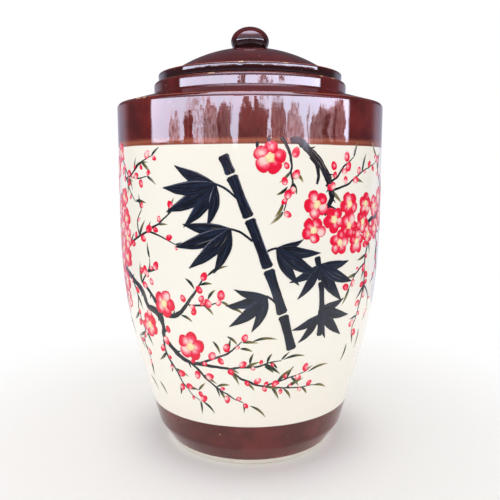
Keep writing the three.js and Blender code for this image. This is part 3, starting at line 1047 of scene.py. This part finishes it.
# Brush settings: each name is an input of the tree that draws the strokes
barkStrokes = {"Step": 2.0 * mm, "Shake": 0.8, "Shake Scale": 170.0, "Jitter": 3.0 * mm,
               "Lift": 0.1 * mm, "Spread": 0.05 * mm}
leafStrokes = {"Spacing": 14 * mm, "Swing": 0.7, "Smallest": 10 * mm, "Largest": 19 * mm, "Share": 0.7,
               "Stem": 0.5 * mm, "Seed": 3, "Lift": 0.05 * mm, "Spread": 0.05 * mm}
budStrokes = {"Spacing": 9 * mm, "Swing": 0.9, "Smallest": 2.0 * mm, "Largest": 4.6 * mm, "Share": 0.85,
              "Stem": 1.0 * mm, "Seed": 8, "Lift": 0.15 * mm, "Spread": 0.06 * mm}
looseBudStrokes = {"Spacing": 30 * mm, "Swing": 0.4, "Smallest": 3.0 * mm, "Largest": 4.6 * mm, "Share": 1.0,
                   "Stem": 0.0, "Seed": 5, "Lift": 0.15 * mm, "Spread": 0.06 * mm}
flowerTouches = {"Petals": 5, "Reach": 0.54, "Petal Size": 0.47, "Heart Size": 0.32, "Shake": 3.4 * mm,
                 "Lift": 0.2 * mm, "Spread": 0.1 * mm}
thornSet = {"thinnest": 1.9, "length": 3.5, "lean": 0.7, "halfWidths": (0.9, 0.8, 0.35)}
looseBudLength = 2  # mm of line that each fuller bud grows on
flowerTurn = (37, 11)  # degrees that a blossom is turned for each degree of bearing and each mm of height


def paintPiece(pieceName, tree, lines, columns, settings, material):  # lines on the unrolled wall, in metres
    carrier = polylines(pieceName + "Lines", lines, columns)
    return bakeTree(carrier, tree, {**settings, "Wall": jarShell, "Material": material}, pieceName)


def drawStrokes(pieceName, lines, settings, material):
    return paintPiece(pieceName, brushStroke, lines, ["halfWidth"], settings, material)


def sheetLines(layout):
    return [[(*onSheet(bearing, height), half * mm) for bearing, height, half in line] for line in layout]


def growSprigs(pieceName, layout, dab, settings, material):
    return paintPiece(pieceName, sprig, sheetLines(layout), ["halfWidth"], {**settings, "Dab": dab}, material)


def openBlossoms(pieceName):
    perDegree, perHeight = flowerTurn
    points = []
    for bearing, height, radius in blossomLayout:
        turn = math.radians(bearing * perDegree + height * perHeight)
        points.append([(*onSheet(bearing, height), radius * mm, turn)])
    settings = {**flowerTouches, "Petal": petalDab, "Heart": heartDab}
    return paintPiece(pieceName, blossom, points, ["size", "turn"], settings, petalPaint)


def thornLines(layout):  # short stubs that stand off the thicker strokes, to either side in turn
    s = thornSet
    root, waist, point = [half * mm for half in s["halfWidths"]]
    stubs = []
    for line in layout:
        for turn, (before, here, after) in enumerate(zip(line, line[1:], line[2:])):
            if here[2] < s["thinnest"]:
                continue
            low, middle, high = [Vector(onSheet(*spot[:2])) for spot in (before, here, after)]
            course = (high - low).normalized()
            aside = Vector((-course.y, course.x, 0.0)) * (1 if turn % 2 else -1)
            tip = middle + (aside + s["lean"] * course).normalized() * (here[2] + s["length"]) * mm
            stubs.append([(*middle, root), (*((middle + tip) / 2), waist), (*tip, point)])
    return stubs


branchLines = sheetLines(branchLayout + twigLayout) + thornLines(branchLayout)
paintedBranches = drawStrokes("paintedBranches", branchLines, barkStrokes, barkEnamel)
paintedLeaves = growSprigs("paintedLeaves", twigLayout, leafDab, leafStrokes, leafPaint)
print("branches and leaves painted", len(paintedBranches.data.polygons),
      len(paintedLeaves.data.polygons), "faces")
paintedBuds = growSprigs("paintedBuds", twigLayout, budDab, budStrokes, petalPaint)
budSpots = [[(bearing, height, 1.0), (bearing, height + looseBudLength, 1.0)]
            for bearing, height in looseBuds]
openingBuds = growSprigs("openingBuds", budSpots, budDab, looseBudStrokes, petalPaint)
paintedBlossoms = openBlossoms("paintedBlossoms")
print("buds and blossoms painted", len(paintedBuds.data.polygons),
      len(paintedBlossoms.data.polygons), "faces")


# Bamboo in dark ink: places in mm on the unrolled wall, aims in degrees from level
bambooStrokes = {"Step": 1.5 * mm, "Shake": 0.22, "Shake Scale": 70.0, "Jitter": 0.8 * mm,
                 "Lift": 0.3 * mm, "Spread": 0.04 * mm}
looseLeafStrokes = {"Step": 1.5 * mm, "Shake": 0.4, "Shake Scale": 150.0, "Jitter": 0.6 * mm,
                    "Lift": 0.05 * mm, "Spread": 0.05 * mm}
bambooSet = {"caneBow": 3.0, "stemHalf": 0.9, "stemBow": 2.0, "leafHalf": 0.125, "leafBow": 2.0}
looseLeafSet = {"half": 1.3, "bow": 0.09}
# Brush pressure along a stroke: (how far along, share of the half width)
leafPressure = ((0.0, 0.14), (0.08, 0.4), (0.25, 0.85), (0.45, 1.0), (0.68, 0.74), (0.86, 0.36), (1.0, 0.04))
canePressure = ((0.0, 0.7), (0.03, 1.08), (0.1, 1.0), (0.35, 0.88), (0.65, 0.88), (0.9, 1.0), (0.97, 1.1),
                (1.0, 0.75))


def leafStroke(x, z, aim, length, half, bow):  # narrow at the root, full in the middle, drawn out to a point
    ahead = (math.cos(math.radians(aim)), math.sin(math.radians(aim)))
    points = []
    for along, width in leafPressure:
        aside = bow * math.sin(math.pi * along)
        points.append(((x + ahead[0] * length * along - ahead[1] * aside) * mm,
                       (z + ahead[1] * length * along + ahead[0] * aside) * mm, 0.0, half * width * mm))
    return points


def caneStrokes(start, end, half, joints, gap):  # one stroke for each joint, a little swollen at its ends
    length = math.hypot(end[0] - start[0], end[1] - start[1])
    strokes = []
    for first, last in zip(joints, joints[1:]):
        low = first + gap / 2 / length
        high = last - gap / 2 / length
        stroke = []
        for along, width in canePressure:
            t = low + (high - low) * along
            x = start[0] + (end[0] - start[0]) * t + bambooSet["caneBow"] * math.sin(math.pi * t)
            z = start[1] + (end[1] - start[1]) * t
            stroke.append((x * mm, z * mm, 0.0, half * width * mm))
        strokes.append(stroke)
    return strokes


def stemStroke(start, end, half):
    middle = ((start[0] + end[0]) / 2, (start[1] + end[1]) / 2 + bambooSet["stemBow"])
    return [(x * mm, z * mm, 0.0, half * mm) for x, z in (start, middle, end)]


def fanStrokes(rootX, rootZ, footX, footZ, leaves):  # a stem and the leaves at its end
    s = bambooSet
    strokes = [stemStroke((footX, footZ), (rootX, rootZ), s["stemHalf"])]
    for aim, length in leaves:
        bow = s["leafBow"] if aim > 90 else -s["leafBow"]
        strokes.append(leafStroke(rootX, rootZ, aim, length, s["leafHalf"] * length, bow))
    return strokes


# Canes: (foot, tip, half width, where its joints lie along it, gap at a joint)
canes = [
    ((39, 122), (-22, 288), 4.6, (0, 0.2, 0.44, 0.69, 0.9, 1), 1.6),
    ((66, 132), (58, 204), 3.0, (0, 0.34, 0.7, 1), 1.4),
]
# Each fan of leaves: (root x, root height, stem's foot x, stem's foot height, leaves of (aim, length))
bambooFans = [
    (-28, 264, -10, 252, ((158, 40), (184, 50), (207, 52), (231, 46), (258, 36))),
    (-16, 228, 2, 218, ((176, 42), (199, 52), (223, 50), (249, 40))),
    (22, 212, 8, 204, ((16, 24), (-8, 40), (-32, 46), (-58, 38))),
    (60, 196, 59, 190, ((2, 34), (-24, 44), (-50, 44), (206, 30), (236, 34))),
    (64, 158, 63, 152, ((12, 28), (-16, 38), (-44, 40), (-72, 30))),
    (14, 172, 26, 160, ((168, 28), (194, 36), (220, 42), (248, 34))),
    (63, 152, 64, 146, ((204, 28), (232, 30))),
]
# Loose leaves past the ends of the twigs: (bearing, height, aim, length)
looseLeaves = [
    (1, 132, 3, 23), (14, 114, 4, 22), (26, 99, 9, 25), (30, 84, -18, 21), (24, 84, -48, 11),
    (15, 85, -52, 15), (0, 69, -37, 22), (-23, 70, -42, 18), (-2, 93, -45, 13), (-14, 84, -62, 12),
    (-15, 87, 10, 15), (-31, 81, 2, 15), (-34, 83, -105, 12), (-50, 78, -54, 16), (-59, 79, -50, 18),
    (-37, 105, -100, 12), (-28, 152, -26, 13), (-18, 163, -44, 13), (-16, 168, 50, 12),
    (-11, 167, -35, 10), (-8, 162, -24, 14), (-15, 131, -62, 14), (-9, 136, -40, 12), (-4, 125, -13, 12),
    (0, 110, 72, 12), (7, 111, 62, 11), (6, 108, -37, 12), (8, 112, -41, 11), (16, 94, 62, 15),
    (-16, 188, 27, 21), (-25, 185, -47, 13), (-19, 180, 8, 12), (56, 128, -96, 20), (47, 118, -108, 18),
    (-52, 276, 14, 24), (-60, 120, -60, 15), (16.5, 273, -52, 11), (15, 266, -69, 12),
    (13.5, 262, 214, 12), (12, 250, -121, 15),
]
bambooLines = []
for cane in canes:
    bambooLines += caneStrokes(*cane)
for fan in bambooFans:
    bambooLines += fanStrokes(*fan)
inkBamboo = drawStrokes("inkBamboo", bambooLines, bambooStrokes, brushInk)
looseLines = []
for bearing, height, aim, length in looseLeaves:
    girth = math.radians(bearing) * wallSet["radius"] / mm
    bow = looseLeafSet["bow"] * length
    looseLines.append(leafStroke(girth, height, aim, length, looseLeafSet["half"], bow))
paintedBlades = drawStrokes("paintedBlades", looseLines, looseLeafStrokes, leafPaint)
print("bamboo and loose leaves painted", len(inkBamboo.data.polygons),
      len(paintedBlades.data.polygons), "faces")

for helper in (petalDab, heartDab, budDab, leafDab):
    bpy.data.objects.remove(helper)


# Floor and studio light
floorSet = {
    "radius": 0.6, "sides": 96, "drop": 0.2 * mm, "colour": paint(246, 245, 243),
    "roughness": 0.9, "ior": 1.3, "shadowTo": 0.20, "whiteFrom": 0.46,
}


def layFloor():
    s = floorSet
    shape = bmesh.new()
    bmesh.ops.create_circle(shape, cap_ends=True, radius=s["radius"], segments=s["sides"])
    mesh = meshFrom(shape, "studioFloor")
    floor = newObject("studioFloor", mesh)
    floor.location.z = -s["drop"]
    material, tree, shader = newMaterial("floorPaper", s["roughness"], s["ior"])
    shader.inputs["Base Color"].default_value = s["colour"]
    far = fade(tree, lengthOf(tree, objectPlace(tree)), s["shadowTo"], s["whiteFrom"])
    ray = addNode(tree, "ShaderNodeLightPath").outputs
    seen = larger(tree, larger(tree, ray["Is Camera Ray"], ray["Is Glossy Ray"]), ray["Is Transmission Ray"])
    glow = output(tree, "ShaderNodeEmission", {"Color": (1, 1, 1, 1), "Strength": 1.0})
    blend = output(tree, "ShaderNodeMixShader", {0: times(tree, far, seen), 1: shader.outputs[0], 2: glow})
    tree.links.new(blend, tree.nodes["Material Output"].inputs["Surface"])
    mesh.materials.append(material)


# Soft even light all round, a little more from the left front; the glaze mirrors a low bright front with
# ragged screens standing before it, a dim sky that grows bright overhead, and the dim room beside and behind.
# Heights and bearings are in degrees
studioSet = {
    "even": 1.03, "fromLeft": 0.08, "fromFront": 0.06,
    "front": 13.2, "frontRight": 0.13, "frontFoot": 2.45, "footSoft": 0.1, "frontTop": 9.6, "topSoft": 0.5,
    "sideFrom": 0.01, "sideFull": 0.06,  # how far ahead the front begins and is full, 0 beside and 1 before
    "frontLow": (3.0, 0.92), "frontHigh": (9.0, 1.12),  # height, and share of the front's strength there
    "sky": 1.2, "overhead": 7.0, "overheadFrom": 44.0, "overheadFull": 66.0, "overheadTo": 87.0,
    "overheadSoft": 1.5,
    "room": 0.15, "roomEnds": 0.6, "endsFrom": -0.5, "endsTo": -0.72, "endsFull": 6.0, "endsTop": 12.0,
    "nearFloor": 0.5, "floorFrom": -3.0, "floorFull": -17.0, "leastLevel": 0.001,
    "tint": (0.82, 0.84, 1.06, 1.0), "screenTint": (1.25, 0.68, 0.68, 1.0),
}
# Screens: (from, to, in degrees right of the front, foot, top, in degrees over level,
# share of the light that passes)
screens = [
    (-70, -59, 0, 4.7, 0.42), (-56, -46, 0, 5.2, 0.05), (-55, -35, 0, 6.8, 0.7), (-38, -24, 0, 6.2, 0.3),
    (-27, -13, 0, 5.9, 0.12), (-11, 16, 0, 6.3, 0.05), (15, 29, 0, 6.3, 0.15), (28, 44, 0, 5.7, 0.38),
    (46, 48, 0, 5.0, 0.3), (48, 69, 0, 5.1, 0.17), (61, 75, 0, 5.8, 0.24), (70, 85.5, 0, 6.5, 0.13),
    (-16, -2, 7.5, 8.9, 0.1), (6, 28, 7.4, 8.9, 0.1), (31, 40, 7.6, 8.9, 0.1),
]
raggedSet = {"stretch": 3.0, "waves": (0.16, 4.0, 0.65), "wander": 12.0, "sideWander": 0.08,
             "mottle": (0.5, 3.0, 0.6), "mottleFade": (0.35, 0.65, 0.5, 1.5), "square": 4.0, "soft": 0.2,
             "crestSoft": 0.03, "leastBow": 0.01}


def frontLight(tree, bearing, ahead, height):  # where the front lies open, and how much passes the screens
    s = studioSet
    r = raggedSet
    spot = vectorOf(tree, bearing, times(tree, height, r["stretch"]))
    ragged = minus(tree, noise(tree, spot, *r["waves"]), 0.5)
    edge = plus(tree, bearing, times(tree, ragged, r["wander"]))
    unevenHeight = times(tree, height, plus(tree, ragged, 1.0))
    mottle = fade(tree, noise(tree, spot, *r["mottle"]), *r["mottleFade"])
    side = plus(tree, ahead, times(tree, ragged, r["sideWander"]))
    opened = times(tree, fade(tree, height, s["frontFoot"] - s["footSoft"], s["frontFoot"] + s["footSoft"]),
                   fade(tree, side, s["sideFrom"], s["sideFull"]))
    passed = 1.0
    for left, right, foot, top, share in screens:
        offCentre = calc(tree, "DIVIDE", minus(tree, edge, (left + right) / 2), (right - left) / 2)
        bow = minus(tree, 1.0, calc(tree, "POWER", times(tree, offCentre, offCentre), r["square"]))
        crest = calc(tree, "DIVIDE", unevenHeight, larger(tree, bow, r["leastBow"]))
        shade = times(tree, fade(tree, crest, (1 + r["crestSoft"]) * top, (1 - r["crestSoft"]) * top),
                      fade(tree, unevenHeight, foot - r["soft"], foot + r["soft"]))
        dim = minus(tree, 1.0, times(tree, mottle, share))
        passed = times(tree, passed, minus(tree, 1.0, times(tree, shade, dim)))
    return opened, passed


def lightStudio():
    s = studioSet
    world = bpy.data.worlds.new("softStudio")
    bpy.context.scene.world = world
    world.use_nodes = True
    tree = world.node_tree
    background = tree.nodes["Background"]
    way = partsOf(tree, addNode(tree, "ShaderNodeTexCoord").outputs["Generated"])
    height = times(tree, calc(tree, "ARCSINE", way[2]), 180 / math.pi)
    level = calc(tree, "SQRT", minus(tree, 1.0, times(tree, way[2], way[2])))
    forward = times(tree, way[1], -1.0)
    ahead = calc(tree, "DIVIDE", forward, larger(tree, level, s["leastLevel"]))
    bearing = times(tree, calc(tree, "ARCTAN2", way[0], forward), 180 / math.pi)
    sided = plus(tree, times(tree, way[0], -s["fromLeft"]), times(tree, forward, s["fromFront"]))
    even = plus(tree, sided, s["even"])
    lowAt, lowShare = s["frontLow"]
    highAt, highShare = s["frontHigh"]
    rise = fade(tree, height, lowAt, highAt, lowShare * s["front"], highShare * s["front"])
    glow = times(tree, rise, plus(tree, times(tree, way[0], s["frontRight"]), 1.0))
    low = times(tree, glow, fade(tree, height, s["frontTop"] + s["topSoft"], s["frontTop"] - s["topSoft"]))
    high = times(tree, fade(tree, height, s["overheadFrom"], s["overheadFull"], 0.0, s["overhead"]),
                 fade(tree, height, s["overheadTo"] + s["overheadSoft"], s["overheadTo"] - s["overheadSoft"]))
    opened, passed = frontLight(tree, bearing, ahead, height)
    bright = plus(tree, plus(tree, low, high), s["sky"])
    front = times(tree, times(tree, bright, opened), passed)
    ends = times(tree, fade(tree, ahead, s["endsFrom"], s["endsTo"]),
                 fade(tree, height, s["endsTop"], s["endsFull"]))
    room = plus(tree, times(tree, ends, s["roomEnds"]), s["room"])
    under = times(tree, fade(tree, height, s["floorFrom"], s["floorFull"]), s["nearFloor"])
    mirrored = plus(tree, front, larger(tree, room, under))
    ray = addNode(tree, "ShaderNodeLightPath").outputs
    lit = mixNumber(tree, ray["Is Glossy Ray"], even, mirrored)
    shown = mixNumber(tree, larger(tree, ray["Is Camera Ray"], ray["Is Transmission Ray"]), lit, 1.0)
    tinted = mixColour(tree, passed, s["screenTint"], s["tint"])
    tree.links.new(mixColour(tree, ray["Is Glossy Ray"], (1, 1, 1, 1), tinted), background.inputs["Color"])
    tree.links.new(shown, background.inputs["Strength"])


layFloor()
lightStudio()
bpy.context.scene.view_settings.view_transform = "Standard"
print("floor and light set")

for piece in (jarShell, paintedBranches, paintedLeaves, paintedBlossoms, paintedBuds, openingBuds,
              paintedBlades, inkBamboo):
    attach(piece, "jar")
for piece in (lidDome, lidBall):
    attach(piece, "lid")
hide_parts("jar_body")
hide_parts("lid")
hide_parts("lid_knob")
